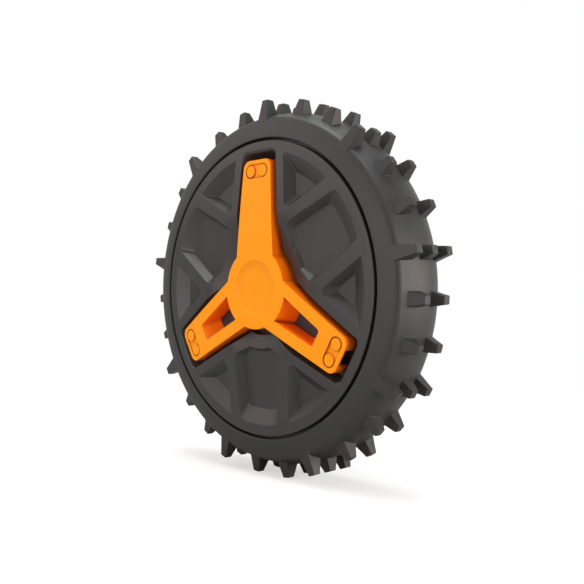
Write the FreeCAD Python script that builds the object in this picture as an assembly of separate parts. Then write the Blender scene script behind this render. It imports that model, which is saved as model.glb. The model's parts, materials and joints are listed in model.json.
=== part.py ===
import FreeCAD, Part
import math
import os

# Drive wheel of a robotic mower: a studded tyre on a moulded rim, with a clip-on star cover outside
# and a keyed metal drive hub seated in the boss inside.
# Millimetres. The wheel spins about Y, the middle of the tyre is at Y = 0, and the outer face looks
# along -Y. A height is measured outwards from the plane of the tyre's lips, on the outer face.

# Tyre carcass
crown_radius = 117.0
crown_half_width = 5.0
shoulder_radius = 113.6
shoulder_half_width = 17.4
lip_half_width = 22.5

# Studs: three abreast, then two rows of two, all round the tread
stud_repeats = 9
stud_stations_per_repeat = 3
stud_tip_radius = 125.0
stud_tip_width = 5.2
stud_flank_angle = 12.0
stud_outer_angle = 5.0
stud_root_depth = 5.0
stud_pair_offset = 9.6

# Rim: face, barrel and flanges
rim_edge_radius = 96.7
groove_width = 2.0
seat_radius = 88.0
seat_clearance = 0.15
flange_thickness = 5.0
barrel_wall = 4.0
face_dome_radius = 1236.0
face_crown_height = 3.9
disc_back_height = -7.8
cone_rim_radius = 50.0
cone_rim_blend = 3.6
cone_foot_height = -2.6
well_gap = 3.6

# Pockets of the rim face, as traced on the plane of the lips
pocket_depth = 5.6
pocket_inner_radius = 39.9
pocket_outer_radius = 88.65
pocket_inner_station = 45.0
pocket_outer_station = 88.0
pocket_nose_half = 9.5
pocket_inner_half = 20.2
pocket_outer_half = 17.3
rib_inner_width = 11.7
rib_outer_width = 10.5
arm_rib_inner_station = 50.0
arm_rib_outer_station = 86.0
arm_rib_inner_offset = 28.0
arm_rib_outer_offset = 23.3
pocket_side_draft = 0.7
pocket_arm_draft = 1.1
pocket_outer_draft = 2.08
pocket_corner_round = 5.0
side_pocket_angle = 31.0

# Star cover
star_arms = 3
star_first_arm_angle = 90.0
star_proud = 1.05
star_hub_radius = 27.0
arm_length = 84.5
arm_hub_half = 17.4
arm_hub_station = 20.0
arm_tip_half = 12.55
arm_tip_round = 5.6
star_wall = 2.2
star_core_height = 0.2
dish_radius = 18.5
dish_bevel = 3.0
dish_depth = 1.65
window_hub_radius = 27.9
window_end_station = 63.6
window_hub_half = 8.7
window_end_half = 5.8
window_foot_hub_radius = 33.5
window_foot_end_station = 53.0
window_side_draft = 0.06
disc_station = 77.1
disc_offset = 5.67
disc_radius = 3.9
disc_gap = 0.75
disc_depth = 0.9
notch_width = 11.0
notch_height = 0.6

# Star channel in the rim and the snap legs that hold the cover
channel_floor_height = -8.5
channel_gap = 3.4
channel_draft = 0.25
channel_end_gap = 5.2
channel_end_draft = 0.5
channel_corner_round = 5.0
trough_wall = 2.8
trough_floor = 3.0
leg_width = 7.0
leg_thickness = 1.8
leg_station = 72.0
leg_offset = 7.5
leg_slot_clearance = 0.3
leg_hook = 1.0
leg_hook_depth = 2.4

# Back of the rim and drive hub
back_ribs = 6
back_rib_thickness = 2.6
back_rib_height = 6.0
boss_radius = 25.0
boss_back = 6.0
hub_bore_radius = 6.0
hub_spigot_flats = 22.0
hub_spigot_clearance = 0.1
hub_front_gap = 0.5
hub_front_wall = 4.0
hub_passage_radius = 9.0
hub_flange_flats = 38.0
hub_flange_thickness = 4.0
key_width = 4.0
key_depth = 1.8

# Places that follow from the sizes above
bead_half_width = lip_half_width - flange_thickness
lip_radius = rim_edge_radius + groove_width
tyre_seat_radius = seat_radius + seat_clearance
barrel_inner_radius = seat_radius - barrel_wall
well_radius = star_hub_radius + well_gap
stud_step = 360.0 / (stud_repeats * stud_stations_per_repeat)
stud_outer_offset = shoulder_half_width - stud_tip_width / 2
stud_root_radius = shoulder_radius - stud_root_depth
arm_step = 360.0 / star_arms
cut_height = 12.0
cut_reach = stud_tip_radius
cut_margin = 1.0
floor_steps = 16
same_place = 1e-6
axis_start = FreeCAD.Vector(0, 0, 0)
spin_axis = FreeCAD.Vector(0, 1, 0)
turn_axis = FreeCAD.Vector(0, -1, 0)


def level(height):
    """Y of a height above the plane of the lips on the outer face."""
    return -(lip_half_width + height)


def dome_height(crown, radius):
    """Height of a dome of the face's curvature at a radius."""
    return crown - face_dome_radius + math.sqrt(face_dome_radius ** 2 - radius ** 2)


def section(points):
    """Face of a closed radial section, from the radius and Y of its corners."""
    corners = [FreeCAD.Vector(radius, y, 0) for radius, y in points]
    return Part.Face(Part.makePolygon(corners + corners[:1]))


def between(lower, upper):
    """Flat-sided solid between two loops with the same number of corners."""
    faces = [Part.Face(Part.makePolygon(loop + loop[:1])) for loop in (lower, upper)]
    for i in range(len(lower)):
        side = [lower[i - 1], lower[i], upper[i], upper[i - 1]]
        faces.append(Part.Face(Part.makePolygon(side + side[:1])))
    shell = Part.makeShell(faces)
    shell.sewShape()
    solid = Part.makeSolid(shell)
    if solid.Volume < 0:
        solid.reverse()
    return solid


def revolved(face):
    """Solid of a radial section turned once round the spin axis, with its seam on the -X side."""
    return turned(face.revolve(axis_start, spin_axis, 360), 180)


def turned(shape, angle):
    """Copy of a shape turned round the spin axis, anticlockwise seen from outside."""
    copy = shape.copy()
    copy.rotate(axis_start, turn_axis, angle)
    return copy


def arm_angles():
    """Angles of the star's arms."""
    return [star_first_arm_angle + arm_step * arm for arm in range(star_arms)]


def bay_angles():
    """Angles of the middles of the bays between the arms."""
    return [angle + arm_step / 2 for angle in arm_angles()]


def face_point(place, height):
    """Point of the face plane from its distances along and across an arm or a bay."""
    return FreeCAD.Vector(place[0], level(height), place[1])


def wall_line(first, second, draft):
    """Drafted wall through two places on the plane of the lips, with its pocket to the left of the way."""
    along = math.atan2(second[1] - first[1], second[0] - first[0])
    normal = (math.sin(along), -math.cos(along))
    return normal, normal[0] * first[0] + normal[1] * first[1], draft


def wall_corner(one, other, height):
    """Place where two drafted walls meet at a height."""
    (a, b), reach_one, draft_one = one
    (c, d), reach_other, draft_other = other
    p = reach_one + draft_one * height
    q = reach_other + draft_other * height
    share = a * d - b * c
    return (p * d - q * b) / share, (a * q - c * p) / share


def drafted_prism(walls, floor, top):
    """Solid between drafted walls, from a floor given as a height for each place up to a flat top."""
    lower = []
    upper = []
    for i in range(len(walls)):
        height = 0
        for _ in range(floor_steps):
            height = floor(wall_corner(walls[i - 1], walls[i], height))
        lower.append(face_point(wall_corner(walls[i - 1], walls[i], height), height))
        upper.append(face_point(wall_corner(walls[i - 1], walls[i], top), top))
    return between(lower, upper)


def level_floor(height):
    """Floor that has the same height at every place."""
    return lambda place: height


def mirrored(shape):
    """Copy of a shape on the other side of its arm or bay."""
    return shape.mirror(axis_start, FreeCAD.Vector(0, 0, 1))


def standing_edges(solid):
    """Edges that run from below the plane of the lips up past the face."""
    found = []
    for edge in solid.Edges:
        heights = sorted(-vertex.Point.y - lip_half_width for vertex in edge.Vertexes)
        if len(heights) == 2 and heights[0] < 0 and heights[1] > cut_height / 2:
            found.append(edge)
    return found


def flat_standing_edges(solid):
    """Those of the standing edges where two flat walls meet."""
    found = []
    for edge in standing_edges(solid):
        if edge.Curve.TypeId == "Part::GeomLine":
            found.append(edge)
    return found


def tyre_carcass():
    """Ring of rubber with a seat between the rim's flanges, tapered sidewalls and a crowned tread."""
    back = [
        (tyre_seat_radius, bead_half_width),
        (lip_radius, bead_half_width),
        (lip_radius, lip_half_width),
        (shoulder_radius, shoulder_half_width),
        (crown_radius, crown_half_width),
    ]
    front = [(radius, -y) for radius, y in reversed(back)]
    return revolved(section(back + front))


def stud(offset, outer_angle):
    """Tapered square stud on the inner half of the tread, with its own outer flank angle."""
    loops = []
    for radius in (stud_root_radius, stud_tip_radius):
        drop = stud_tip_radius - radius
        half = stud_tip_width / 2 + drop * math.tan(math.radians(stud_flank_angle))
        outer = stud_tip_width / 2 + drop * math.tan(math.radians(outer_angle))
        corners = [(outer, -half), (outer, half), (-half, half), (-half, -half)]
        loops.append([FreeCAD.Vector(radius, offset + axial, across) for axial, across in corners])
    return between(loops[0], loops[1])


def other_side(shape):
    """Copy of a shape on the other side of the tyre's middle plane."""
    return shape.mirror(axis_start, spin_axis)


def tyre():
    """One moulding: the carcass with its studs in threes and pairs."""
    outer = stud(stud_outer_offset, stud_outer_angle)
    pair = stud(stud_pair_offset, stud_flank_angle)
    row_of_three = [outer, stud(0, stud_flank_angle), other_side(outer)]
    row_of_two = [pair, other_side(pair)]
    studs = []
    for station in range(stud_repeats * stud_stations_per_repeat):
        row = row_of_two
        if station % stud_stations_per_repeat == 0:
            row = row_of_three
        angle = star_first_arm_angle + station * stud_step
        studs += [turned(one, angle) for one in row]
    return tyre_carcass().fuse(studs)


def rim_blank():
    """Rim before its pockets: shallow conical face with a dip in its middle, barrel, flanges and boss."""
    edge_height = dome_height(face_crown_height, rim_edge_radius)
    blend_height = dome_height(face_crown_height, cone_rim_radius + cone_rim_blend)
    dip_rise = dome_height(face_crown_height, cone_rim_radius) - cone_foot_height
    dip_slope = dip_rise / (cone_rim_radius - well_radius)
    dip_height = cone_foot_height + dip_slope * (cone_rim_radius - cone_rim_blend - well_radius)
    blank = revolved(section([
        (0, level(cone_foot_height)),
        (well_radius, level(cone_foot_height)),
        (cone_rim_radius - cone_rim_blend, level(dip_height)),
        (cone_rim_radius + cone_rim_blend, level(blend_height)),
        (rim_edge_radius, level(edge_height)),
        (rim_edge_radius, -bead_half_width),
        (seat_radius, -bead_half_width),
        (seat_radius, bead_half_width),
        (rim_edge_radius, bead_half_width),
        (rim_edge_radius, lip_half_width),
        (barrel_inner_radius, lip_half_width),
        (barrel_inner_radius, level(disc_back_height)),
        (boss_radius, level(disc_back_height)),
        (boss_radius, boss_back),
        (0, boss_back),
    ]))
    return turned(blank, arm_angles()[1] - 180)


def pocket_space():
    """Ring that the pockets stay inside, between drafted inner and outer walls."""
    return revolved(section([
        (pocket_inner_radius + pocket_side_draft * cut_height, level(-cut_height)),
        (pocket_outer_radius - pocket_outer_draft * cut_height, level(-cut_height)),
        (pocket_outer_radius + pocket_outer_draft * cut_height, level(cut_height)),
        (pocket_inner_radius - pocket_side_draft * cut_height, level(cut_height)),
    ]))


def pocket_floor(angle):
    """Height of a flat floor at a place, sunk parallel to the face along an angle from the bay's middle."""
    crown = face_crown_height - pocket_depth
    inner = dome_height(crown, pocket_inner_radius)
    outer = dome_height(crown, pocket_outer_radius)
    slope = (outer - inner) / (pocket_outer_radius - pocket_inner_radius)
    turn = math.radians(angle)

    def height_at(place):
        reach = place[0] * math.cos(turn) + place[1] * math.sin(turn)
        return inner + slope * (reach - pocket_inner_radius)

    return height_at


def centre_pocket(space):
    """Large pocket in the middle of a bay, with a nose that follows the hub."""
    nose_station = math.sqrt(pocket_inner_radius ** 2 - pocket_nose_half ** 2)
    nose = (nose_station, pocket_nose_half)
    inner = (pocket_inner_station, pocket_inner_half)
    outer = (pocket_outer_station, pocket_outer_half)
    walls = [
        wall_line((cut_reach, -cut_reach), (cut_reach, cut_reach), 0),
        wall_line(outer, inner, pocket_side_draft),
        wall_line(inner, nose, pocket_side_draft),
        wall_line((nose[0], -nose[1]), (inner[0], -inner[1]), pocket_side_draft),
        wall_line((inner[0], -inner[1]), (outer[0], -outer[1]), pocket_side_draft),
    ]
    pocket = drafted_prism(walls, pocket_floor(0), cut_height).common(space)
    return pocket.makeFillet(pocket_corner_round, flat_standing_edges(pocket))


def side_pocket(space):
    """Three-cornered pocket between the middle of a bay and the arm beside it."""
    rib_inner = (pocket_inner_station, pocket_inner_half + rib_inner_width)
    rib_outer = (pocket_outer_station, pocket_outer_half + rib_outer_width)
    turn = math.radians(arm_step / 2)
    arm = []
    arm_rib = (
        (arm_rib_inner_station, arm_rib_inner_offset),
        (arm_rib_outer_station, arm_rib_outer_offset),
    )
    for station, offset in arm_rib:
        along = station * math.cos(turn) + offset * math.sin(turn)
        across = station * math.sin(turn) - offset * math.cos(turn)
        arm.append((along, across))
    walls = [
        wall_line(rib_inner, rib_outer, pocket_side_draft),
        wall_line((cut_reach, -cut_reach), (cut_reach, cut_reach), 0),
        wall_line((cut_reach, cut_reach), (-cut_reach, cut_reach), 0),
        wall_line(arm[1], arm[0], pocket_arm_draft),
    ]
    pocket = drafted_prism(walls, pocket_floor(side_pocket_angle), cut_height).common(space)
    return pocket.makeFillet(pocket_corner_round, flat_standing_edges(pocket))


def pockets():
    """All pockets of the rim face."""
    space = pocket_space()
    middle = centre_pocket(space)
    side = side_pocket(space)
    found = []
    for angle in bay_angles():
        found += [turned(one, angle) for one in (middle, side, mirrored(side))]
    return found


def arm_half(station):
    """Half width of a star arm at a distance from the middle."""
    share = (station - arm_hub_station) / (arm_length - arm_hub_station)
    return arm_hub_half + share * (arm_tip_half - arm_hub_half)


def star_channel():
    """Recess that the star cover sits in: one drafted channel for each arm."""
    near = (0, arm_half(0) + channel_gap)
    far = (arm_length, arm_tip_half + channel_gap)
    end = arm_length + channel_end_gap
    walls = [
        wall_line((end, -cut_reach), (end, cut_reach), channel_end_draft),
        wall_line(far, near, channel_draft),
        wall_line((star_hub_radius / 2, cut_reach), (star_hub_radius / 2, -cut_reach), 0),
        wall_line((near[0], -near[1]), (far[0], -far[1]), channel_draft),
    ]
    channel = drafted_prism(walls, level_floor(channel_floor_height), cut_height)
    corners = [edge for edge in standing_edges(channel) if edge.BoundBox.XMin > arm_length]
    channel = channel.makeFillet(channel_corner_round, corners)
    return [turned(channel, angle) for angle in arm_angles()]


def star_trough():
    """Floor and walls behind the star channel, on the back of the disc."""
    foot = channel_floor_height - trough_floor
    plan = star_plan(-channel_gap - trough_wall, foot)
    reach = barrel_inner_radius + barrel_wall / 2
    return plan.common(cylinder(reach, level(disc_back_height + trough_wall), level(foot)))


def back_rib():
    """Low rib on the back of the disc, from the boss to the barrel."""
    low = level(disc_back_height + trough_wall)
    high = level(disc_back_height - back_rib_height)
    corner = FreeCAD.Vector(boss_radius - back_rib_thickness, low, -back_rib_thickness / 2)
    length = barrel_inner_radius - boss_radius + 2 * back_rib_thickness
    return Part.makeBox(length, high - low, back_rib_thickness, corner)


def leg_slots():
    """Slots in the channel floor that the cover's snap legs pass."""
    low = level(channel_floor_height + trough_floor)
    high = level(channel_floor_height - 2 * trough_floor)
    length = leg_width + 2 * leg_slot_clearance
    width = leg_thickness + leg_hook + 2 * leg_slot_clearance
    across = leg_offset - leg_thickness - leg_hook - leg_slot_clearance
    corner = FreeCAD.Vector(leg_station - length / 2, low, across)
    slot = Part.makeBox(length, high - low, width, corner)
    found = []
    for angle in arm_angles():
        found += [turned(slot, angle), turned(mirrored(slot), angle)]
    return found


def cylinder(radius, start, end):
    """Round bar on the spin axis between two Y places."""
    return Part.makeCylinder(radius, end - start, FreeCAD.Vector(0, start, 0), spin_axis)


def hexagon_bar(flats, start, end):
    """Six-sided bar on the spin axis between two Y places, with a corner on the +X side."""
    reach = flats / math.sqrt(3)
    turns = [math.radians(60 * corner) for corner in range(6)]
    loops = []
    for y in (start, end):
        loops.append([FreeCAD.Vector(reach * math.cos(turn), y, reach * math.sin(turn)) for turn in turns])
    return between(loops[0], loops[1])


def hub_front():
    """Y of the drive hub's outer end."""
    return level(channel_floor_height) + hub_front_wall + hub_front_gap


def rim():
    """One moulding: the blank with its pockets, star channel, back ribs and hub seat."""
    body = rim_blank().fuse(star_trough())
    rib_step = 360.0 / back_ribs
    ribs = [turned(back_rib(), star_first_arm_angle + rib_step * rib) for rib in range(back_ribs)]
    body = body.fuse(ribs)
    seat_start = level(channel_floor_height) + hub_front_wall
    seat_flats = hub_spigot_flats + 2 * hub_spigot_clearance
    seat = turned(hexagon_bar(seat_flats, seat_start, boss_back), star_first_arm_angle)
    passage = cylinder(hub_passage_radius, level(cut_height), boss_back)
    well = cylinder(well_radius, level(cut_height), level(channel_floor_height))
    cuts = pockets() + star_channel() + leg_slots() + [well, seat, passage]
    return body.cut(cuts)


def arm_plan(inset, foot):
    """One arm of the star's outline, drawn in by an inset, with a rounded end."""
    end = arm_length - inset
    near = arm_half(0) - inset
    far = arm_tip_half - inset
    points = [(0, -near), (end, -far), (end, far), (0, near)]
    loop = Part.makePolygon([face_point(point, foot) for point in points + points[:1]])
    prism = Part.Face(loop).extrude(FreeCAD.Vector(0, level(cut_height) - level(foot), 0))
    corners = []
    for edge in prism.Edges:
        ends = [vertex.Point for vertex in edge.Vertexes]
        at_end = all(abs(point.x - end) < same_place for point in ends)
        if at_end and abs(ends[0].y - ends[1].y) > same_place:
            corners.append(edge)
    return prism.makeFillet(arm_tip_round - inset, corners)


def star_plan(inset, foot):
    """Solid of the star's outline, drawn in by an inset, from a foot height up past the face."""
    hub = cylinder(star_hub_radius - inset, level(cut_height), level(foot))
    return hub.multiFuse([turned(arm_plan(inset, foot), angle) for angle in arm_angles()]).removeSplitter()


def star_dome():
    """Ball that the star's domed top is a piece of."""
    crown = face_crown_height + star_proud
    return Part.makeSphere(face_dome_radius, FreeCAD.Vector(0, level(crown) + face_dome_radius, 0))


def window_prism(margin, low, high):
    """Funnel of an arm window, wider than the opening by a margin."""
    top = face_crown_height + star_proud
    drop = top - channel_floor_height
    end_draft = (window_end_station - window_foot_end_station) / drop
    hub_draft = (window_foot_hub_radius - window_hub_radius) / drop
    end = window_end_station - end_draft * top + margin
    hub_half = window_hub_half - window_side_draft * top + margin
    end_half = window_end_half - window_side_draft * top + margin
    walls = [
        wall_line((end, -cut_reach), (end, cut_reach), end_draft),
        wall_line((window_end_station, end_half), (window_hub_radius, hub_half), window_side_draft),
        wall_line((star_hub_radius / 2, cut_reach), (star_hub_radius / 2, -cut_reach), 0),
        wall_line((window_hub_radius, -hub_half), (window_end_station, -end_half), window_side_draft),
    ]
    prism = drafted_prism(walls, level_floor(low), high)
    core_low = window_hub_radius + hub_draft * (top - low) - margin
    core_high = window_hub_radius + hub_draft * (top - high) - margin
    core = revolved(section([
        (0, level(low)),
        (core_low, level(low)),
        (core_high, level(high)),
        (0, level(high)),
    ]))
    return prism.cut(core)


def disc_recess():
    """Stadium recess near an arm's end."""
    half = disc_radius + disc_gap
    low = level(disc_top() - disc_depth)
    high = level(cut_height)
    corner = FreeCAD.Vector(disc_station - half, high, -disc_offset)
    recess = Part.makeBox(2 * half, low - high, 2 * disc_offset, corner)
    ends = []
    for across in (-disc_offset, disc_offset):
        end = FreeCAD.Vector(disc_station, high, across)
        ends.append(Part.makeCylinder(half, low - high, end, spin_axis))
    return recess.multiFuse(ends).removeSplitter()


def disc_top():
    """Height of the discs' flat tops, level with the face round them."""
    return dome_height(face_crown_height + star_proud, math.hypot(disc_station, disc_offset))


def discs():
    """Two discs that stand in an arm's recess."""
    foot = level(disc_top() - disc_depth)
    height = foot - level(disc_top())
    found = []
    for across in (-disc_offset, disc_offset):
        middle = FreeCAD.Vector(disc_station, foot - height, across)
        found.append(Part.makeCylinder(disc_radius, height, middle, spin_axis))
    return found


def snap_leg():
    """Leg under an arm with a hook that catches behind the channel floor."""
    top = level(star_core_height) - star_wall / 2
    ledge = level(channel_floor_height - trough_floor)
    end = ledge + leg_hook_depth
    corner = FreeCAD.Vector(leg_station - leg_width / 2, top, leg_offset - leg_thickness)
    leg = Part.makeBox(leg_width, end - top, leg_thickness, corner)
    hook = [(leg_offset, ledge), (leg_offset + leg_hook, ledge), (leg_offset, end)]
    points = [FreeCAD.Vector(leg_station - leg_width / 2, y, across) for across, y in hook]
    barb = Part.Face(Part.makePolygon(points + points[:1])).extrude(FreeCAD.Vector(leg_width, 0, 0))
    return leg.fuse(barb)


def pry_notch():
    """Slot through an arm's end wall under its top, for levering the cover off."""
    corner = FreeCAD.Vector(arm_length - 2 * star_wall, level(notch_height), -notch_width / 2)
    return Part.makeBox(4 * star_wall, level(channel_floor_height) - level(notch_height), notch_width, corner)


def star_cover():
    """One hollow moulding: three arms on a hub, with a dish, two windows, discs, notches and snap legs."""
    body = star_plan(0, channel_floor_height).common(star_dome())
    crown = face_crown_height + star_proud
    dish_height = dome_height(crown, dish_radius)
    slope = dish_bevel / dish_depth
    dish = revolved(section([
        (0, level(dish_height - dish_depth)),
        (dish_radius - dish_bevel, level(dish_height - dish_depth)),
        (dish_radius + slope * cut_height, level(dish_height + cut_height)),
        (0, level(dish_height + cut_height)),
    ]))
    hollow_top = level(star_core_height)
    hollow_bounds = cylinder(cut_reach, hollow_top, level(channel_floor_height))
    hollow = star_plan(star_wall, channel_floor_height).common(hollow_bounds)
    low = channel_floor_height - cut_margin
    windows = [turned(window_prism(0, low, cut_height), angle) for angle in arm_angles()[1:]]
    sleeves = [turned(window_prism(star_wall, low, cut_height), angle) for angle in arm_angles()[1:]]
    hollow = hollow.cut(sleeves)
    cuts = [dish, hollow] + windows
    added = []
    for angle in arm_angles():
        cuts += [turned(disc_recess(), angle), turned(pry_notch(), angle)]
        added += [turned(one, angle) for one in discs() + [snap_leg(), mirrored(snap_leg())]]
    return body.cut(cuts).multiFuse(added)


def drive_hub():
    """Metal hub with a six-sided spigot and flange, and a keyed bore for the mower's shaft."""
    front = hub_front()
    back = boss_back + hub_flange_thickness
    spigot = hexagon_bar(hub_spigot_flats, front, boss_back)
    flange = hexagon_bar(hub_flange_flats, boss_back, back)
    body = turned(spigot.fuse(flange), star_first_arm_angle)
    bore = cylinder(hub_bore_radius, front, back)
    corner = FreeCAD.Vector(0, front, -key_width / 2)
    key = Part.makeBox(hub_bore_radius + key_depth, back - front, key_width, corner)
    return body.cut([bore, turned(key, star_first_arm_angle)])


def main():
    """Builds each piece and writes its file."""
    os.makedirs("parts", exist_ok=True)
    pieces = {
        "tyre": tyre(),
        "rim": rim(),
        "star_cover": star_cover(),
        "drive_hub": drive_hub(),
    }
    for name, shape in pieces.items():
        shape.exportStep("parts/" + name + ".step")
        print(name, "solids", len(shape.Solids), "valid", shape.isValid(), "volume", round(shape.Volume))


main()
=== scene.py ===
"""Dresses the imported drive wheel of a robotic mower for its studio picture.

Places are in metres in the frame of the CAD model: the wheel spins about Y, its outer face looks
along -Y, and +Z is up through the plain arm of the star cover. Sizes are fields in millimetres and
angles are in degrees, where nothing else is said.
"""

import json
import logging
import math
from abc import ABC, abstractmethod
from contextlib import contextmanager
from dataclasses import dataclass, replace
from enum import Enum
from typing import Callable, Iterator, Optional

import bmesh
import bpy
from mathutils import Matrix, Vector

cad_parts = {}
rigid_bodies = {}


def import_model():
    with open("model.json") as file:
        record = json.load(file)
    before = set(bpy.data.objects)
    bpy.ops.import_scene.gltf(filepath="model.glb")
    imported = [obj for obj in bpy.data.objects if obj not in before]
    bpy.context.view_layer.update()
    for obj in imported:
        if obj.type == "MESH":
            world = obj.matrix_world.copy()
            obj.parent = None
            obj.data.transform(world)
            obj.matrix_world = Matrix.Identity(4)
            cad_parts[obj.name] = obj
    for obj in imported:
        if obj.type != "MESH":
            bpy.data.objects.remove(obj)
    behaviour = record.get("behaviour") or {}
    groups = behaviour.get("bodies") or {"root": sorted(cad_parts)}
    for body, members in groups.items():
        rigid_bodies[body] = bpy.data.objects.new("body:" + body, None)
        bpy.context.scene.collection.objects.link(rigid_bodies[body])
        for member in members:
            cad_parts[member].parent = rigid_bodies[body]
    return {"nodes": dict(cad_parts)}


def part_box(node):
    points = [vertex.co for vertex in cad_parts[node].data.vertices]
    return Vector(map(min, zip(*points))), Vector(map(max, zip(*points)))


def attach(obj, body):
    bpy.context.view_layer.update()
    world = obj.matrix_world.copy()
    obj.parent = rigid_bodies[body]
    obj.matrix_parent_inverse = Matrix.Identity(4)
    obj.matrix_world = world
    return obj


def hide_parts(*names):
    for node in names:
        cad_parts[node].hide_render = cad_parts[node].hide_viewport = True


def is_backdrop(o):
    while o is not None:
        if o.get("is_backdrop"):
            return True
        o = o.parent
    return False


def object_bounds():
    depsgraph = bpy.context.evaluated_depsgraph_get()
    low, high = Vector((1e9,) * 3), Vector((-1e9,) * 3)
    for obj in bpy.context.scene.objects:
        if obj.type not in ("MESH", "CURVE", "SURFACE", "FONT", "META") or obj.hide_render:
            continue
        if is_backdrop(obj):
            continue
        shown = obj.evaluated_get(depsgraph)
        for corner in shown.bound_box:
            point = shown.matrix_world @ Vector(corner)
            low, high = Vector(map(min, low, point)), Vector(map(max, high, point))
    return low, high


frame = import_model()

MM = 0.001
BODY = "root"
WHITE = "FFFFFF"
CENTRE = (0, 0, 0)
SPIN_AXIS = (0, 1, 0)
OUTWARDS = (0, -1, 0)

# Arms of the star cover, with as many bays of pockets between them.
ARMS = 3

# Vertices that lie nearer to each other than this, in metres, are one.
SAME_PLACE = 1e-6

# Inputs and output of a Mix node that blends two colours.
MIX_SHARE, MIX_FIRST, MIX_SECOND, MIX_RESULT = 0, 6, 7, 2

# Radians by which a Wave texture turns over one unit of its scaled coordinates.
WAVE_RADIANS = 20

# How strongly large faces pull the shading of the rounds beside them, where 50 is evenly.
LARGE_FACE_WEIGHT = 60

log = logging.getLogger("drive_wheel")


class Slot(Enum):
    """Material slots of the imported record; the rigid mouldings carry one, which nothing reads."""

    TYRE = "tyre_rubber"
    RIM = "rim_plastic"
    COVER = "cover_plastic"


class Node(Enum):
    """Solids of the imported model."""

    TYRE = "tyre"
    RIM = "rim"
    COVER = "star_cover"
    HUB = "drive_hub"


class Element(Enum):
    """Kinds of mesh element, with the name of bmesh's list of each."""

    VERT = "verts"
    EDGE = "edges"
    FACE = "faces"


class Miter(Enum):
    """Ways in which a round turns an outer corner."""

    ARC = "ARC"
    SHARP = "SHARP"


def linear(colour: str) -> tuple[float, float, float, float]:
    """Turns a colour into linear light, by the sRGB curve.

    Args:
        colour: sRGB colour as six hex digits.

    Returns:
        Linear red, green, blue and full opacity.
    """
    def channel(start: int) -> float:
        """Linear value of one channel."""
        value = int(colour[start:start + 2], 16) / 255
        return value / 12.92 if value <= 0.04045 else ((value + 0.055) / 1.055) ** 2.4

    return channel(0), channel(2), channel(4), 1.0


def add_node(
    tree: bpy.types.NodeTree,
    kind: str,
    values: Optional[dict] = None,
    links: Optional[dict] = None,
    **settings: object,
) -> bpy.types.Node:
    """Adds a node with its settings, its fixed inputs and its linked inputs.

    Args:
        tree: Node tree that takes the node.
        kind: Blender's name for the kind of node.
        values: Fixed value of each input, by its name or number.
        links: Output that feeds each input, by the input's name or number.
        settings: Properties of the node itself.

    Returns:
        The new node.
    """
    node = tree.nodes.new(kind)
    for name, value in settings.items():
        setattr(node, name, value)
    for socket, value in (values or {}).items():
        node.inputs[socket].default_value = value
    for socket, source in (links or {}).items():
        tree.links.new(source, node.inputs[socket])
    return node


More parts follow.
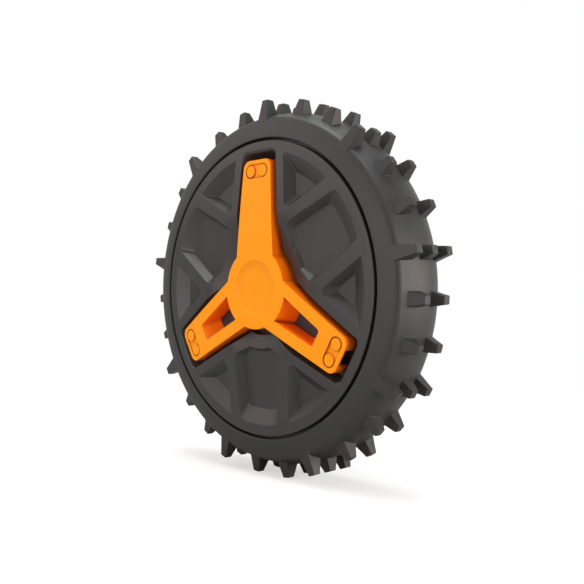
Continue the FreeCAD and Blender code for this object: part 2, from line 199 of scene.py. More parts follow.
@dataclass(frozen=True)
class MouldedFinish:
    """Finish of a moulded polymer: two close tones, an eroded grain and a roughness that drifts.

    Where it has a painted wall shade, walls across the wheel's face and recesses of the face get painted
    shade.
    The limits of wall_facing are cosines between a surface and the wheel's face, for full wall and full
    face. Those of crevice_openness are shares of open sky, for full crevice and open surface.
    """

    name: str
    tone: str
    second_tone: str
    roughness: float
    roughness_drift: float
    ior: float
    grain_mm: float
    grain_depth_mm: float
    drift_mm: float
    grain_detail: float = 2.0
    drift_detail: float = 3.0
    painted_wall_shade: Optional[str] = None
    wall_facing: tuple[float, float] = (0.5, 0.99)
    painted_crevice_shade: Optional[str] = None
    crevice_mm: float = 3.0
    crevice_openness: tuple[float, float] = (0.35, 0.97)

    def with_painted_shade(
        self, tree: bpy.types.NodeTree, tone: bpy.types.NodeSocket
    ) -> bpy.types.NodeSocket:
        """Paints shade into a tone: deeper on walls across the wheel's face and in recesses of the face.

        Args:
            tree: Node tree of the material.
            tone: Colour of the face.

        Returns:
            The colour of the face, with painted shade on walls and in recesses.
        """
        facing = add_node(
            tree, "ShaderNodeVectorMath", operation="DOT_PRODUCT", values={1: OUTWARDS},
            links={0: add_node(tree, "ShaderNodeTexCoord").outputs["Normal"]},
        )
        face_share = add_node(
            tree, "ShaderNodeMapRange",
            values={"From Min": self.wall_facing[0], "From Max": self.wall_facing[1]},
            links={"Value": facing.outputs["Value"]},
        )
        face_and_wall_shade = add_node(
            tree, "ShaderNodeMix", data_type="RGBA", values={MIX_FIRST: linear(self.painted_wall_shade)},
            links={MIX_SHARE: face_share.outputs["Result"], MIX_SECOND: tone},
        )
        openness = add_node(
            tree, "ShaderNodeAmbientOcclusion", values={"Distance": self.crevice_mm * MM}
        )
        open_share = add_node(
            tree, "ShaderNodeMapRange",
            values={"From Min": self.crevice_openness[0], "From Max": self.crevice_openness[1]},
            links={"Value": openness.outputs["AO"]},
        )
        return add_node(
            tree, "ShaderNodeMix", data_type="RGBA", values={MIX_FIRST: linear(self.painted_crevice_shade)},
            links={
                MIX_SHARE: open_share.outputs["Result"],
                MIX_SECOND: face_and_wall_shade.outputs[MIX_RESULT],
            },
        ).outputs[MIX_RESULT]

    def material(self) -> bpy.types.Material:
        """Makes the material.

        Returns:
            A material that reads Object coordinates in metres.
        """
        made = bpy.data.materials.new(self.name)
        made.use_nodes = True
        tree = made.node_tree
        shader = tree.nodes["Principled BSDF"]
        shader.inputs["IOR"].default_value = self.ior
        place = add_node(tree, "ShaderNodeTexCoord").outputs["Object"]
        drift = add_node(
            tree, "ShaderNodeTexNoise",
            values={"Scale": 1 / (self.drift_mm * MM), "Detail": self.drift_detail},
            links={"Vector": place},
        ).outputs["Fac"]
        tone = add_node(
            tree, "ShaderNodeMix", data_type="RGBA",
            values={MIX_FIRST: linear(self.tone), MIX_SECOND: linear(self.second_tone)},
            links={MIX_SHARE: drift},
        ).outputs[MIX_RESULT]
        roughness = add_node(
            tree, "ShaderNodeMapRange",
            values={
                "To Min": self.roughness - self.roughness_drift,
                "To Max": self.roughness + self.roughness_drift,
            },
            links={"Value": drift},
        ).outputs["Result"]
        grain = add_node(
            tree, "ShaderNodeTexNoise",
            values={"Scale": 1 / (self.grain_mm * MM), "Detail": self.grain_detail},
            links={"Vector": place},
        ).outputs["Fac"]
        bump = add_node(
            tree, "ShaderNodeBump",
            values={"Distance": self.grain_depth_mm * MM}, links={"Height": grain},
        ).outputs["Normal"]
        # Painted shade: deeper tones on walls by their facing, and in recesses by ambient occlusion.
        if self.painted_wall_shade is not None:
            tone = self.with_painted_shade(tree, tone)
        tree.links.new(tone, shader.inputs["Base Color"])
        tree.links.new(roughness, shader.inputs["Roughness"])
        tree.links.new(bump, shader.inputs["Normal"])
        return made


@dataclass(frozen=True)
class TurnedSteel:
    """Finish of turned steel: fine rings round the spin axis that stretch the highlights."""

    name: str = "turned_steel"
    tone: str = "9A9A98"
    roughness: float = 0.34
    ring_mm: float = 3.14
    ring_depth_mm: float = 0.01
    ring_wobble: float = 1.5
    ring_detail: float = 2.0

    def material(self) -> bpy.types.Material:
        """Makes the material.

        Returns:
            A metal whose rings are drawn some ten times coarser than a lathe leaves them, so they show.
        """
        made = bpy.data.materials.new(self.name)
        made.use_nodes = True
        tree = made.node_tree
        shader = tree.nodes["Principled BSDF"]
        shader.inputs["Base Color"].default_value = linear(self.tone)
        shader.inputs["Metallic"].default_value = 1.0
        shader.inputs["Roughness"].default_value = self.roughness
        rings = add_node(
            tree, "ShaderNodeTexWave", wave_type="RINGS", rings_direction="Y",
            values={
                "Scale": 2 * math.pi / (WAVE_RADIANS * self.ring_mm * MM),
                "Distortion": self.ring_wobble,
                "Detail": self.ring_detail,
            },
            links={"Vector": add_node(tree, "ShaderNodeTexCoord").outputs["Object"]},
        )
        bump = add_node(
            tree, "ShaderNodeBump",
            values={"Distance": self.ring_depth_mm * MM}, links={"Height": rings.outputs["Fac"]},
        )
        tree.links.new(bump.outputs["Normal"], shader.inputs["Normal"])
        return made


# Moulded rubber: nearly matt, with a broad soft highlight and a faint grain from the eroded mould.
# The real grain is about 0.1 mm, and it is drawn coarser so that it shows.
RUBBER = MouldedFinish(
    name="moulded_charcoal_rubber", tone="2A2A2A", second_tone="302F2F",
    roughness=0.48, roughness_drift=0.05, ior=1.44,
    grain_mm=0.9, grain_depth_mm=0.03, drift_mm=30.0,
)

# Moulded polypropylene: satin, with a slightly tighter highlight than the rubber's.
# The real grain is about 0.1 mm, and it is drawn coarser so that it shows.
POLYPROPYLENE = MouldedFinish(
    name="moulded_dark_polypropylene", tone="2C2B2B", second_tone="313030",
    roughness=0.38, roughness_drift=0.04, ior=1.49,
    grain_mm=0.8, grain_depth_mm=0.02, drift_mm=35.0,
)

# Moulded ABS in orange: smooth and satin, so the edges carry a clear soft highlight.
# Its walls take a deeper, redder tone and its crevices a dark brown one: painted shade, standing in for the
# redder light at its walls and the shade in its crevices.
# Its grain too is drawn coarser than the real one.
ORANGE_ABS = MouldedFinish(
    name="moulded_orange_abs", tone="FF9A00", second_tone="FF9F00",
    roughness=0.45, roughness_drift=0.03, ior=1.3,
    grain_mm=0.8, grain_depth_mm=0.008, drift_mm=40.0,
    painted_wall_shade="FF7200", painted_crevice_shade="9C3600",
)


def deselect_all() -> None:
    """Leaves no object selected."""
    bpy.ops.object.select_all(action="DESELECT")


def make_active(piece: bpy.types.Object) -> None:
    """Leaves one object selected and active.

    Args:
        piece: Object that the next operators act on.
    """
    deselect_all()
    piece.select_set(True)
    bpy.context.view_layer.objects.active = piece


@contextmanager
def editing(piece: bpy.types.Object) -> Iterator[None]:
    """Opens a piece in edit mode for as long as the block runs.

    Args:
        piece: Object whose mesh is edited.
    """
    make_active(piece)
    bpy.ops.object.mode_set(mode="EDIT")
    bpy.ops.mesh.select_mode(type=Element.VERT.name)
    yield
    bpy.ops.object.mode_set(mode="OBJECT")


def pick(piece: bpy.types.Object, kind: Element, test: Callable[..., bool]) -> None:
    """Selects the elements of one kind that pass a test, and nothing else.

    Args:
        piece: Object that is open in edit mode.
        kind: Vertices, edges or faces.
        test: Whether an element is picked.
    """
    bpy.ops.mesh.select_mode(type=kind.name)
    bpy.ops.mesh.select_all(action="DESELECT")
    mesh = bmesh.from_edit_mesh(piece.data)
    mesh.normal_update()
    for element in getattr(mesh, kind.value):
        if test(element):
            element.select_set(True)
    mesh.select_flush_mode()
    bmesh.update_edit_mesh(piece.data)


def mark_picked_faces(piece: bpy.types.Object, mark: int) -> None:
    """Gives the selected faces a slot number, by which their borders are found again.

    Args:
        piece: Object that is open in edit mode.
        mark: The slot number.
    """
    mesh = bmesh.from_edit_mesh(piece.data)
    for face in mesh.faces:
        if face.select:
            face.material_index = mark
    bmesh.update_edit_mesh(piece.data)


def merge_doubles(distance: float = SAME_PLACE) -> None:
    """Merges the vertices within a distance in metres, on the mesh that is open in edit mode."""
    bpy.ops.mesh.select_all(action="SELECT")
    bpy.ops.mesh.remove_doubles(threshold=distance)


def close_seams() -> None:
    """Merges the doubles of the mesh that is open in edit mode and turns its faces outwards."""
    merge_doubles()
    bpy.ops.mesh.normals_make_consistent(inside=False)


def apply_modifier(piece: bpy.types.Object, kind: str, **settings: object) -> None:
    """Adds a modifier with its settings and applies it.

    Args:
        piece: Object that is changed.
        kind: Blender's name for the modifier.
        settings: Properties of the modifier.
    """
    make_active(piece)
    modifier = piece.modifiers.new(kind.lower(), kind)
    for name, value in settings.items():
        setattr(modifier, name, value)
    bpy.ops.object.modifier_apply(modifier=modifier.name)


def smooth(piece: bpy.types.Object, sharpest: float) -> None:
    """Shades a piece smooth, with flat faces kept flat.

    Args:
        piece: Object that is shaded.
        sharpest: Angle above which an edge stays sharp.
    """
    make_active(piece)
    bpy.ops.object.shade_smooth_by_angle(angle=math.radians(sharpest))
    apply_modifier(piece, "WEIGHTED_NORMAL", keep_sharp=True, weight=LARGE_FACE_WEIGHT)


def dress(piece: bpy.types.Object, material: bpy.types.Material) -> None:
    """Gives a piece one material all over.

    Args:
        piece: Object that is dressed.
        material: Its only material.
    """
    piece.data.materials.clear()
    piece.data.materials.append(material)
    for polygon in piece.data.polygons:
        polygon.material_index = 0


def report(piece: bpy.types.Object) -> None:
    """Logs a finished piece."""
    log.info("%s: %d faces", piece.name, len(piece.data.polygons))


def hand_over(piece: bpy.types.Object, node: Optional[Node] = None) -> None:
    """Puts a finished piece on the wheel's body.

    Args:
        piece: Finished object, with its place in its mesh.
        node: Solid that it stands for, if any.
    """
    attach(piece, BODY)
    if node is not None:
        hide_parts(node.value)
    report(piece)


def marks_at(edge: bmesh.types.BMEdge) -> set[int]:
    """Slot numbers of the faces that meet at an edge."""
    return {face.material_index for face in edge.link_faces}


def bend_at(edge: bmesh.types.BMEdge) -> float:
    """Angle by which the surface turns at an edge."""
    return math.degrees(edge.calc_face_angle(0.0))


def rise_of(edge: bmesh.types.BMEdge) -> float:
    """Share of an edge's length that runs along the spin axis."""
    run = edge.verts[1].co - edge.verts[0].co
    return abs(run.y) / max(run.length, SAME_PLACE)


def middle_of(edge: bmesh.types.BMEdge) -> Vector:
    """Middle of an edge, in millimetres."""
    return (edge.verts[0].co + edge.verts[1].co) / (2 * MM)


def reach_of(edge: bmesh.types.BMEdge) -> float:
    """Distance of an edge's middle from the spin axis, in millimetres."""
    return math.hypot(middle_of(edge).x, middle_of(edge).z)


def turn_from_arm(edge: bmesh.types.BMEdge) -> float:
    """Angle round the spin axis from the nearest arm to an edge's middle.

    Args:
        edge: Edge of the wheel's face.

    Returns:
        The angle in radians.
    """
    step = 2 * math.pi / ARMS
    turn = math.atan2(middle_of(edge).x, middle_of(edge).z)
    return turn - step * round(turn / step)


def place_on_arm(edge: bmesh.types.BMEdge) -> tuple[float, float]:
    """Distances of an edge's middle along the nearest arm and off the arm's middle line, in millimetres."""
    turn = turn_from_arm(edge)
    return reach_of(edge) * math.cos(turn), reach_of(edge) * abs(math.sin(turn))


@dataclass(frozen=True)
class EdgeRound:
    """One kind of edge and its round. A round that is held back stops short of its neighbours."""

    test: Callable[[bmesh.types.BMEdge], bool]
    width: float
    segments: int = 2
    held_back: bool = False
    miter: Miter = Miter.ARC


def round_edges(piece: bpy.types.Object, kind: EdgeRound) -> None:
    """Rounds all edges of one kind.

    Args:
        piece: Object that is open in edit mode.
        kind: Edges that are rounded, and how.
    """
    pick(piece, Element.EDGE, kind.test)
    bpy.ops.mesh.bevel(
        offset=kind.width * MM, segments=kind.segments, affect="EDGES",
        clamp_overlap=kind.held_back, loop_slide=kind.held_back, miter_outer=kind.miter.value,
    )


def rounded(before: Vector, corner: Vector, after: Vector, steps: int) -> list[tuple[float, float]]:
    """Points of a soft bend between two places.

    Args:
        before: Where the bend starts.
        corner: Where the two straight runs would meet.
        after: Where the bend ends.
        steps: Number of runs in the bend.

    Returns:
        The points, both ends included.
    """
    points = []
    for step in range(steps + 1):
        share = step / steps
        point = before.lerp(corner, share).lerp(corner.lerp(after, share), share)
        points.append((point.x, point.y))
    return points


@dataclass(frozen=True)
class StudPlan:
    """One stud of a station: the strip of tread it grows from and the width of its tip, along Y."""

    root: tuple[float, float]
    tip: tuple[float, float]

    def mirrored(self) -> "StudPlan":
        """The same stud on the other side of the middle plane."""
        return StudPlan((-self.root[1], -self.root[0]), (-self.tip[1], -self.tip[0]))


@dataclass
class StuddedTyre:
    """Rubber tyre whose studs are drawn up out of the tread, one station at a time.

    Its section is given by distances from the middle plane and radii. A share counts from the shoulder
    down the sidewall to the lip, and stops are further lines along tread and sidewall.
    """

    stations: int = 27
    stations_per_repeat: int = 3
    seat_radius: float = 88.15
    seat_half_width: float = 17.5
    lip_radius: float = 98.7
    lip_half_width: float = 22.5
    lip_round: float = 0.9
    lip_lean: float = 0.1
    sidewall_bulge: float = 0.4
    sidewall_stops: tuple[float, ...] = (0.4, 0.6, 0.8)
    shoulder_radius: float = 112.0
    shoulder_half_width: float = 19.3
    shoulder_round: float = 1.6
    shoulder_share: float = 0.16
    bend_steps: int = 4
    crown_radius: float = 117.2
    tread_stops: tuple[float, ...] = (7.5, 12.3)
    tip_radius: float = 125.0
    tip_width: float = 5.2
    pair_offset: float = 9.6
    root_half_width: float = 4.6
    outer_root_start: float = 10.3
    pair_root_end: float = 14.2
    outer_root_share: float = 0.22
    outer_tip_end: float = 17.4
    root_half_angle: float = 2.25
    sweep_steps: int = 2
    flank_bend: float = 57.0
    flank_round: float = 0.55
    tip_bend: float = 29.0
    tip_round: float = 0.35
    root_round: float = 1.2
    stud_mark: int = 1
    sharpest: float = 50.0

    def crown_point(self, y: float) -> tuple[float, float]:
        """Point of the tread at a distance from the middle plane, as Y and radius."""
        drop = self.crown_radius - self.shoulder_radius
        return y, self.crown_radius - drop * (y / self.shoulder_half_width) ** 2

    def sidewall_point(self, share: float) -> tuple[float, float]:
        """Point of the bulged sidewall.

        Args:
            share: How far down the sidewall, from the shoulder at 0 to the lip at 1.

        Returns:
            Y and radius of the point.
        """
        start = Vector((self.shoulder_half_width, self.shoulder_radius))
        chord = Vector((self.lip_half_width, self.lip_radius)) - start
        outwards = Vector((-chord.y, chord.x)).normalized()
        point = start + chord * share + outwards * self.sidewall_bulge * 4 * share * (1 - share)
        return point.x, point.y

    def half_profile(self) -> list[tuple[float, float]]:
        """Section of one half of the tyre, with a point at each line that a stud's root needs.

        Returns:
            Y and radius of the points, from the middle of the tread to the seat.
        """
        tread = sorted((
            0, self.root_half_width, self.outer_root_start, self.pair_root_end, self.outer_tip_end,
            *self.tread_stops,
        ))
        points = [self.crown_point(y) for y in tread]
        points += rounded(
            Vector(self.crown_point(self.shoulder_half_width - self.shoulder_round)),
            Vector((self.shoulder_half_width, self.shoulder_radius)),
            Vector(self.sidewall_point(self.shoulder_share)),
            self.bend_steps,
        )
        points += [self.sidewall_point(share) for share in (self.outer_root_share, *self.sidewall_stops)]
        lip = Vector((self.lip_half_width, self.lip_radius))
        points += rounded(
            lip + Vector((-self.lip_lean, self.lip_round)),
            lip,
            lip + Vector((-self.lip_round, 0)),
            self.bend_steps,
        )
        points += [(self.seat_half_width, self.lip_radius), (self.seat_half_width, self.seat_radius)]
        return points

    def draw_profile(self, name: str) -> bpy.types.Object:
        """Draws the closed section of the tyre at the top of the wheel.

        Args:
            name: Name of the new object.

        Returns:
            An object whose mesh is the closed line.
        """
        half = self.half_profile()
        points = half + [(-y, radius) for y, radius in reversed(half[1:])]
        places = [Vector((0, y, radius)) * MM for y, radius in points]
        ends = (places[0], places[-1])
        deselect_all()
        bpy.ops.mesh.primitive_plane_add(size=MM, location=CENTRE)
        piece = bpy.context.object
        piece.name = name
        with editing(piece):
            bpy.ops.mesh.select_all(action="SELECT")
            bpy.ops.mesh.merge(type="CENTER")
            bpy.ops.transform.translate(value=places[0])
            for before, after in zip(places, places[1:]):
                bpy.ops.mesh.extrude_region_move(TRANSFORM_OT_translate={"value": after - before})
            pick(
                piece, Element.VERT,
                lambda vertex: any((vertex.co - end).length < SAME_PLACE for end in ends),
            )
            bpy.ops.mesh.edge_face_add()
        return piece

    def sweep_station(self, piece: bpy.types.Object) -> None:
        """Sweeps the section through one station, with a line at each side of the studs' roots.

        Args:
            piece: Closed section at the top of the wheel.
        """
        half_step = 180 / self.stations
        beside_roots = half_step - self.root_half_angle
        with editing(piece):
            bpy.ops.mesh.select_all(action="SELECT")
            bpy.ops.transform.rotate(
                value=-math.radians(half_step), orient_axis="Y", center_override=CENTRE
            )
            for angle in (beside_roots, 2 * self.root_half_angle, beside_roots):
                bpy.ops.mesh.spin(
                    steps=self.sweep_steps, angle=math.radians(angle), center=CENTRE, axis=SPIN_AXIS
                )

    def in_root(self, face: bmesh.types.BMFace, plan: StudPlan) -> bool:
        """Whether a face of the carcass belongs to a stud's root.

        Args:
            face: Face of a station at the top of the wheel.
            plan: Where the stud stands.

        Returns:
            Whether it lies on the stud's strip of tread or sidewall.
        """
        place = face.calc_center_median() / MM
        turn = math.degrees(math.atan2(place.x, place.z))
        on_strip = plan.root[0] < place.y < plan.root[1] and abs(turn) < self.root_half_angle
        return on_strip and place.z > self.lip_radius

    def raise_stud(self, piece: bpy.types.Object, plan: StudPlan) -> None:
        """Draws one stud up out of its strip of tread and flattens its tip.

        Args:
            piece: Station at the top of the wheel, where the radius is Z.
            plan: Where the stud stands along Y.
        """
        low, high = (y * MM for y in plan.root)
        tip_low, tip_high = (y * MM for y in plan.tip)
        squeeze = (tip_high - tip_low) / (high - low)
        still = (tip_low - squeeze * low) / (1 - squeeze)
        root_half = self.crown_radius * math.sin(math.radians(self.root_half_angle))
        pick(piece, Element.FACE, lambda face: self.in_root(face, plan))
        bpy.ops.mesh.extrude_region_move(TRANSFORM_OT_translate={"value": (0, 0, 0)})
        bpy.ops.transform.resize(
            value=(self.tip_width / 2 / root_half, squeeze, 0),
            center_override=(0, still, self.tip_radius * MM),
        )
        bpy.ops.mesh.select_more()
        mark_picked_faces(piece, self.stud_mark)

    def at_tip(self, vertex: bmesh.types.BMVert) -> bool:
        """Whether a vertex lies on the flat tip of a stud."""
        return abs(vertex.co.z - self.tip_radius * MM) < SAME_PLACE

    def is_flank_corner(self, edge: bmesh.types.BMEdge) -> bool:
        """Whether an edge is one of the four that run up a stud."""
        one_end_up = self.at_tip(edge.verts[0]) != self.at_tip(edge.verts[1])
        return one_end_up and marks_at(edge) == {self.stud_mark} and bend_at(edge) > self.flank_bend

    def is_tip_border(self, edge: bmesh.types.BMEdge) -> bool:
        """Whether an edge runs round a stud's tip."""
        return all(self.at_tip(vertex) for vertex in edge.verts) and bend_at(edge) > self.tip_bend

    def is_root_border(self, edge: bmesh.types.BMEdge) -> bool:
        """Whether an edge runs round a stud's root."""
        return len(marks_at(edge)) == 2

    def rounds(self) -> list[EdgeRound]:
        """Kinds of edges of a stud in the order in which they are rounded."""
        return [
            EdgeRound(self.is_flank_corner, self.flank_round, 3, held_back=True, miter=Miter.SHARP),
            EdgeRound(self.is_tip_border, self.tip_round, 2, held_back=True, miter=Miter.SHARP),
            EdgeRound(self.is_root_border, self.root_round, 3, held_back=True, miter=Miter.SHARP),
        ]

    def flatten_tips(self, piece: bpy.types.Object) -> None:
        """Brings the tips back to their radius, which the rounds pass by a hair.

        Args:
            piece: Station at the top of the wheel, open in edit mode.
        """
        tip = self.tip_radius * MM
        pick(piece, Element.VERT, lambda vertex: vertex.co.z > tip - SAME_PLACE)
        bpy.ops.transform.resize(value=(1, 1, 0), center_override=(0, 0, tip))

    def station(self, name: str, studs: list[StudPlan]) -> bpy.types.Object:
        """Models one station of the tyre at the top of the wheel.

        Args:
            name: Name of the new object.
            studs: Studs that stand abreast there.

        Returns:
            The station, with its studs rounded and blended into the tread.
        """
        piece = self.draw_profile(name)
        self.sweep_station(piece)
        # Faces keep a mark only where the piece has a slot for it, so empty slots come first.
        for _ in range(self.stud_mark + 1):
            piece.data.materials.append(None)
        with editing(piece):
            close_seams()
            for plan in studs:
                self.raise_stud(piece, plan)
            for kind in self.rounds():
                round_edges(piece, kind)
            self.flatten_tips(piece)
        return piece

    def plans(self) -> tuple[list[StudPlan], list[StudPlan]]:
        """Lays out the two kinds of station.

        Returns:
            The studs of a station of three and of a station of two.
        """
        half = self.tip_width / 2
        outer = StudPlan(
            (self.outer_root_start, self.sidewall_point(self.outer_root_share)[0]),
            (self.outer_tip_end - self.tip_width, self.outer_tip_end),
        )
        middle = StudPlan((-self.root_half_width, self.root_half_width), (-half, half))
        pair = StudPlan(
            (self.root_half_width, self.pair_root_end), (self.pair_offset - half, self.pair_offset + half)
        )
        return [outer, middle, outer.mirrored()], [pair, pair.mirrored()]

    def ring(self, masters: list[bpy.types.Object]) -> list[bpy.types.Object]:
        """Sets copies of the stations round the wheel, and removes the stations they are copied from.

        Args:
            masters: Station of three studs and station of two, at the top of the wheel.

        Returns:
            The copies, each with its own mesh.
        """
        copies = []
        for number in range(self.stations):
            master = masters[min(number % self.stations_per_repeat, 1)]
            copy = master.copy()
            copy.data = master.data.copy()
            copy.data.transform(Matrix.Rotation(2 * math.pi * number / self.stations, 4, "Y"))
            bpy.context.collection.objects.link(copy)
            copies.append(copy)
        for master in masters:
            bpy.data.objects.remove(master)
        return copies

    def build(self) -> bpy.types.Object:
        """Builds the whole tyre from copies of its two kinds of station.

        Returns:
            The tyre in the place of its solid.
        """
        three, two = self.plans()
        copies = self.ring([self.station("station_of_three", three), self.station("station_of_two", two)])
        tyre = copies[0]
        make_active(tyre)
        for copy in copies:
            copy.select_set(True)
        bpy.ops.object.join()
        tyre.name = "moulded_tyre"
        with editing(tyre):
            close_seams()
        smooth(tyre, self.sharpest)
        dress(tyre, RUBBER.material())
        hand_over(tyre, Node.TYRE)
        return tyre


@dataclass
class MouldedShell(ABC):
    """Rigid moulding: its solid's own form, with the rounds that a mould leaves on its edges."""

    node: Node
    slot: Slot
    finish: MouldedFinish
    name: str
    sharpest: float = 25.0
    merge_mm: float = 0.002
    flat_angle: float = 0.5

    @abstractmethod
    def rounds(self) -> list[EdgeRound]:
        """Kinds of edges in the order in which they are rounded."""

    def build(self) -> bpy.types.Object:
        """Builds the moulding from a copy of its solid.

        Returns:
            The moulding in the place of its solid.
        """
        piece = bpy.data.objects.new(self.name, frame["nodes"][self.node.value].data.copy())
        bpy.context.collection.objects.link(piece)
        with editing(piece):
            merge_doubles(self.merge_mm * MM)
            bpy.ops.mesh.dissolve_limited(angle_limit=math.radians(self.flat_angle))
            for kind in self.rounds():
                round_edges(piece, kind)
            merge_doubles()
        smooth(piece, self.sharpest)
        dress(piece, self.finish.material())
        hand_over(piece, self.node)
        return piece


@dataclass
class PocketedRim(MouldedShell):
    """Rim whose pockets have rounded corners, soft floors and crisp brims."""

    pocket_back: float = -15.0
    pocket_reach: tuple[float, float] = (34.0, 92.0)
    slope_reach: float = 60.0
    valley_rise: float = 0.2
    valley_bend: float = 30.0
    valley_round: float = 2.2
    open_valley_half: float = 15.0
    floor_bend: float = 12.0
    floor_round: float = 0.8
    channel_end: float = 86.0
    channel_half: float = 16.6
    channel_end_round: float = 1.5
    brim_round: float = 0.35

    def on_face(self, edge: bmesh.types.BMEdge) -> bool:
        """Whether an edge lies on the rim's face, among the pockets and the star channel."""
        return middle_of(edge).y < self.pocket_back and reach_of(edge) < self.pocket_reach[1]

    def in_pocket(self, edge: bmesh.types.BMEdge) -> bool:
        """Whether an edge is an inner one of the face's pockets."""
        return self.on_face(edge) and not edge.is_convex and reach_of(edge) > self.pocket_reach[0]

    def is_valley(self, edge: bmesh.types.BMEdge) -> bool:
        """Whether an edge runs up between a pocket's wall and its outer slope."""
        runs_up = rise_of(edge) > self.valley_rise and bend_at(edge) > self.valley_bend
        return runs_up and self.in_pocket(edge) and reach_of(edge) > self.slope_reach

    def in_middle_pocket(self, edge: bmesh.types.BMEdge) -> bool:
        """Whether an edge lies within the middle pocket of a bay between two arms."""
        off_middle = 180 / ARMS - abs(math.degrees(turn_from_arm(edge)))
        return off_middle < self.open_valley_half

    def is_open_valley(self, edge: bmesh.types.BMEdge) -> bool:
        """Whether a valley is a wide one, in a middle pocket."""
        return self.is_valley(edge) and self.in_middle_pocket(edge)

    def is_tight_valley(self, edge: bmesh.types.BMEdge) -> bool:
        """Whether a valley is a narrow one, in a side pocket."""
        return self.is_valley(edge) and not self.in_middle_pocket(edge)

    def is_floor_border(self, edge: bmesh.types.BMEdge) -> bool:
        """Whether an edge runs round a pocket's floor."""
        level = rise_of(edge) <= self.valley_rise
        return level and self.in_pocket(edge) and bend_at(edge) > self.floor_bend

    def is_brim(self, edge: bmesh.types.BMEdge) -> bool:
        """Whether an edge stands out from the rim."""
        return edge.is_convex and bend_at(edge) > self.sharpest

    def is_channel_end(self, edge: bmesh.types.BMEdge) -> bool:
        """Whether an edge is a piece of the brim round an outer end of the star channel.

        Args:
            edge: Edge of the rim.

        Returns:
            Whether it stands out there.
        """
        along, across = place_on_arm(edge)
        at_end = along > self.channel_end and across < self.channel_half
        return at_end and self.on_face(edge) and self.is_brim(edge)

    def rounds(self) -> list[EdgeRound]:
        """Kinds of edges in the order in which they are rounded."""
        return [
            EdgeRound(self.is_open_valley, self.valley_round, 4),
            EdgeRound(self.is_tight_valley, self.valley_round, 4, held_back=True),
            EdgeRound(self.is_floor_border, self.floor_round, held_back=True),
            EdgeRound(self.is_channel_end, self.channel_end_round, 4),
            EdgeRound(self.is_brim, self.brim_round),
        ]


@dataclass
class StarCover(MouldedShell):
    """Star cover with rounded window corners, crisp edges and crisper discs."""

    disc_station: float = 77.1
    disc_offset: float = 5.67
    disc_reach: float = 5.2
    disc_back: float = -23.5
    disc_round: float = 0.1
    window_reach: tuple[float, float] = (45.0, 66.0)
    window_rise: float = 0.6
    window_bend: float = 60.0
    window_round: float = 1.5
    edge_round: float = 0.4

    def at_discs(self, edge: bmesh.types.BMEdge) -> bool:
        """Whether an edge belongs to the discs near an arm's end, or to their recess.

        Args:
            edge: Edge of the cover.

        Returns:
            Whether it lies on the cover's face within the discs' reach.
        """
        along, across = place_on_arm(edge)
        near = abs(along - self.disc_station) < self.disc_reach
        return near and across < self.disc_offset + self.disc_reach and middle_of(edge).y < self.disc_back

    def is_window_corner(self, edge: bmesh.types.BMEdge) -> bool:
        """Whether an edge stands in a corner of a window's outer end."""
        inner = not edge.is_convex and self.window_reach[0] < reach_of(edge) < self.window_reach[1]
        return inner and rise_of(edge) > self.window_rise and bend_at(edge) > self.window_bend

    def is_disc_edge(self, edge: bmesh.types.BMEdge) -> bool:
        """Whether an edge is one of the discs' outlines."""
        return self.at_discs(edge) and bend_at(edge) > self.sharpest

    def is_plain_edge(self, edge: bmesh.types.BMEdge) -> bool:
        """Whether an edge stands out anywhere else."""
        return edge.is_convex and not self.at_discs(edge) and bend_at(edge) > self.sharpest

    def rounds(self) -> list[EdgeRound]:
        """Kinds of edges in the order in which they are rounded."""
        return [
            EdgeRound(self.is_window_corner, self.window_round, 3),
            EdgeRound(self.is_plain_edge, self.edge_round),
            EdgeRound(self.is_disc_edge, self.disc_round, 1),
        ]


@dataclass
class CentrePip:
    """Small domed mark of the moulding gate in the middle of the star cover's dish."""

    radius: float = 0.8
    height: float = 0.4
    sunk: float = 0.2
    dish_depth: float = 1.65
    segments: int = 20
    rings: int = 12
    sharpest: float = 40.0

    def build(self) -> bpy.types.Object:
        """Builds the pip on the dish's floor.

        Returns:
            The pip, sunk a little into the cover.
        """
        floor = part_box(Node.COVER.value)[0].y + self.dish_depth * MM
        deselect_all()
        bpy.ops.mesh.primitive_uv_sphere_add(
            segments=self.segments, ring_count=self.rings, radius=self.radius * MM, location=(0, floor, 0)
        )
        pip = bpy.context.object
        pip.name = "centre_pip"
        bpy.ops.object.transform_apply(location=True, rotation=True, scale=True)
        with editing(pip):
            bpy.ops.mesh.select_all(action="SELECT")
            bpy.ops.transform.resize(
                value=(1, self.height / self.radius, 1), center_override=(0, floor, 0)
            )
            bpy.ops.mesh.bisect(
                plane_co=(0, floor + self.sunk * MM, 0), plane_no=SPIN_AXIS, clear_outer=True
            )
            bpy.ops.mesh.edge_face_add()
        smooth(pip, self.sharpest)
        # The gate's orange leaves out the cover's painted shade on walls and in crevices.
        dress(pip, replace(ORANGE_ABS, name="moulded_orange_abs_gate", painted_wall_shade=None).material())
        hand_over(pip)
        return pip


@dataclass
class DriveHub:
    """Keyed steel hub, which is shown as its own solid."""

    finish: TurnedSteel = TurnedSteel()

    def build(self) -> bpy.types.Object:
        """Dresses the hub's solid.

        Returns:
            The hub.
        """
        hub = frame["nodes"][Node.HUB.value]
        dress(hub, self.finish.material())
        report(hub)
        return hub


def direction(azimuth: float, elevation: float) -> Vector:
    """Unit vector from the wheel's middle to a place in the studio.

    Args:
        azimuth: Angle round the wheel, 0 in front of its outer face and 90 on its +X side.
        elevation: Angle above the horizon.

    Returns:
        The direction.
    """
    turn, tilt = math.radians(azimuth), math.radians(elevation)
    return Vector((
        math.sin(turn) * math.cos(tilt), -math.cos(turn) * math.cos(tilt), math.sin(tilt)
    ))


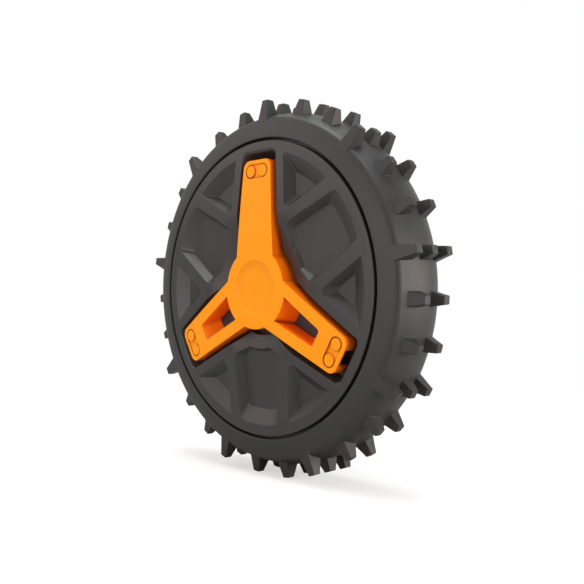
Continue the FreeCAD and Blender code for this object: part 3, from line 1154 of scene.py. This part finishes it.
@dataclass
class Softbox:
    """Square studio lamp that looks at the wheel's middle. Its sizes are in metres and its power in watts."""

    name: str
    azimuth: float
    elevation: float
    side: float
    power: float
    tone: str = WHITE
    distance: float = 1.4

    def build(self) -> None:
        """Hangs the lamp in its place."""
        lamp = bpy.data.lights.new(self.name, "AREA")
        lamp.size = self.side
        lamp.energy = self.power
        lamp.color = linear(self.tone)[:3]
        hung = bpy.data.objects.new(self.name, lamp)
        away = direction(self.azimuth, self.elevation)
        hung.location = away * self.distance
        hung.rotation_mode = "QUATERNION"
        hung.rotation_quaternion = (-away).to_track_quat("-Z", "Y")
        bpy.context.collection.objects.link(hung)


@dataclass
class Studio:
    """White floor and backdrop, soft lamps and the picture's camera. Sizes are in metres unless named mm."""

    eye_mm: tuple[float, float, float] = (381.4, -374.5, -3.9)
    azimuth: float = 44.91
    elevation: float = -0.16
    lens_mm: float = 48.51
    sensor_mm: float = 36.0
    clip: tuple[float, float] = (0.01, 50.0)
    floor_side: float = 8.0
    floor_fade: tuple[float, float] = (0.25, 0.7)
    floor_lift: float = 0.56
    floor_tone: str = "BEBEBE"
    backdrop_edge: tuple[float, float] = (0.45, 0.75)
    world_strength: float = 0.42

    def lamps(self) -> list[Softbox]:
        """Lamps of the studio, in watts that light the wheel at a plain level."""
        return [
            Softbox("overhead_lamp", azimuth=0, elevation=88, side=0.9, power=15.5),
            Softbox("key_lamp", azimuth=-48, elevation=32, side=0.9, power=4.2, tone="FFE9DF"),
            Softbox("front_lamp", azimuth=-6, elevation=1, side=1.0, power=9.5, tone="FFF3EB"),
            Softbox("right_lamp", azimuth=92, elevation=4, side=0.8, power=16.0),
            Softbox("tread_lamp", azimuth=124, elevation=-2, side=0.7, power=14.0, tone="FFEDE3"),
        ]

    def seen_white(
        self, tree: bpy.types.NodeTree, place: bpy.types.NodeSocket
    ) -> bpy.types.NodeSocket:
        """Output that is 1 for the white that the camera sees, also in a mirror or through glass.

        Args:
            tree: Node tree of the world or of the floor.
            place: Place or direction; mirrors see the white only on the backdrop's side of the wheel.

        Returns:
            The output.
        """
        path = add_node(tree, "ShaderNodeLightPath")
        mirrored_too = add_node(
            tree, "ShaderNodeMath", operation="MAXIMUM",
            links={0: path.outputs["Is Glossy Ray"], 1: path.outputs["Is Transmission Ray"]},
        )
        behind = add_node(
            tree, "ShaderNodeVectorMath", operation="DOT_PRODUCT",
            values={1: -direction(self.azimuth, 0)}, links={0: place},
        )
        backdrop = add_node(
            tree, "ShaderNodeMapRange",
            values={"From Min": self.backdrop_edge[0], "From Max": self.backdrop_edge[1]},
            links={"Value": behind.outputs["Value"]},
        )
        in_mirror = add_node(
            tree, "ShaderNodeMath", operation="MULTIPLY",
            links={0: mirrored_too.outputs[0], 1: backdrop.outputs["Result"]},
        )
        return add_node(
            tree, "ShaderNodeMath", operation="MAXIMUM",
            links={0: in_mirror.outputs[0], 1: path.outputs["Is Camera Ray"]},
        ).outputs[0]

    def build_world(self) -> None:
        """Makes the even light of the room, with a white backdrop behind the wheel."""
        world = bpy.data.worlds.new("white_studio")
        world.use_nodes = True
        tree = world.node_tree
        background = tree.nodes["Background"]
        background.inputs["Color"].default_value = linear(WHITE)
        place = add_node(tree, "ShaderNodeTexCoord").outputs["Generated"]
        strength = add_node(
            tree, "ShaderNodeMapRange",
            values={"To Min": self.world_strength, "To Max": 1.0},
            links={"Value": self.seen_white(tree, place)},
        )
        tree.links.new(strength.outputs["Result"], background.inputs["Strength"])
        bpy.context.scene.world = world

    def floor_paper(self) -> bpy.types.Material:
        """Makes the floor's matt white paper, which keeps the wheel's shadow and fades into the backdrop.

        Returns:
            The material.
        """
        paper = bpy.data.materials.new("matt_white_paper")
        paper.use_nodes = True
        tree = paper.node_tree
        tree.nodes.remove(tree.nodes["Principled BSDF"])
        place = add_node(tree, "ShaderNodeTexCoord").outputs["Object"]
        seen = self.seen_white(tree, place)
        matt = add_node(tree, "ShaderNodeBsdfDiffuse", values={"Color": linear(self.floor_tone)})
        lift = add_node(
            tree, "ShaderNodeMath", operation="MULTIPLY", values={1: self.floor_lift}, links={0: seen}
        )
        glow = add_node(tree, "ShaderNodeEmission", links={"Strength": lift.outputs[0]})
        near = add_node(
            tree, "ShaderNodeAddShader",
            links={0: matt.outputs["BSDF"], 1: glow.outputs["Emission"]},
        )
        distance = add_node(tree, "ShaderNodeVectorMath", operation="LENGTH", links={0: place})
        fade = add_node(
            tree, "ShaderNodeMapRange", interpolation_type="SMOOTHSTEP",
            values={"From Min": self.floor_fade[0], "From Max": self.floor_fade[1]},
            links={"Value": distance.outputs["Value"]},
        )
        share = add_node(
            tree, "ShaderNodeMath", operation="MULTIPLY", links={0: fade.outputs["Result"], 1: seen}
        )
        white = add_node(tree, "ShaderNodeEmission")
        whole = add_node(
            tree, "ShaderNodeMixShader",
            links={0: share.outputs[0], 1: near.outputs[0], 2: white.outputs["Emission"]},
        )
        tree.links.new(whole.outputs[0], tree.nodes["Material Output"].inputs["Surface"])
        return paper

    def build_floor(self) -> None:
        """Lays a pale floor that the wheel stands on."""
        deselect_all()
        bpy.ops.mesh.primitive_plane_add(size=self.floor_side, location=(0, 0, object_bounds()[0].z))
        floor = bpy.context.object
        floor.name = "studio_floor"
        floor.data.materials.append(self.floor_paper())
        floor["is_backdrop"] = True

    def build_camera(self) -> None:
        """Sets up the camera at the picture's viewing angle."""
        camera = bpy.data.cameras.new("picture_camera")
        camera.sensor_width = self.sensor_mm
        camera.lens = self.lens_mm
        camera.clip_start, camera.clip_end = self.clip
        stand = bpy.data.objects.new("picture_camera", camera)
        back = direction(self.azimuth, self.elevation)
        stand.location = Vector(self.eye_mm) * MM
        stand.rotation_mode = "QUATERNION"
        stand.rotation_quaternion = (-back).to_track_quat("-Z", "Y")
        bpy.context.collection.objects.link(stand)
        bpy.context.scene.camera = stand

    def build(self) -> None:
        """Builds the room, its lamps and the camera."""
        bpy.context.scene.view_settings.view_transform = "Standard"
        self.build_world()
        self.build_floor()
        for lamp in self.lamps():
            lamp.build()
        self.build_camera()


def main() -> None:
    """Builds the pieces in order, then the studio."""
    logging.basicConfig(level=logging.INFO, format="%(name)s %(message)s")
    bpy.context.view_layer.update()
    StuddedTyre().build()
    PocketedRim(Node.RIM, Slot.RIM, POLYPROPYLENE, "moulded_rim").build()
    StarCover(Node.COVER, Slot.COVER, ORANGE_ABS, "moulded_star_cover").build()
    CentrePip().build()
    DriveHub().build()
    Studio().build()


if __name__ == "__main__":
    main()
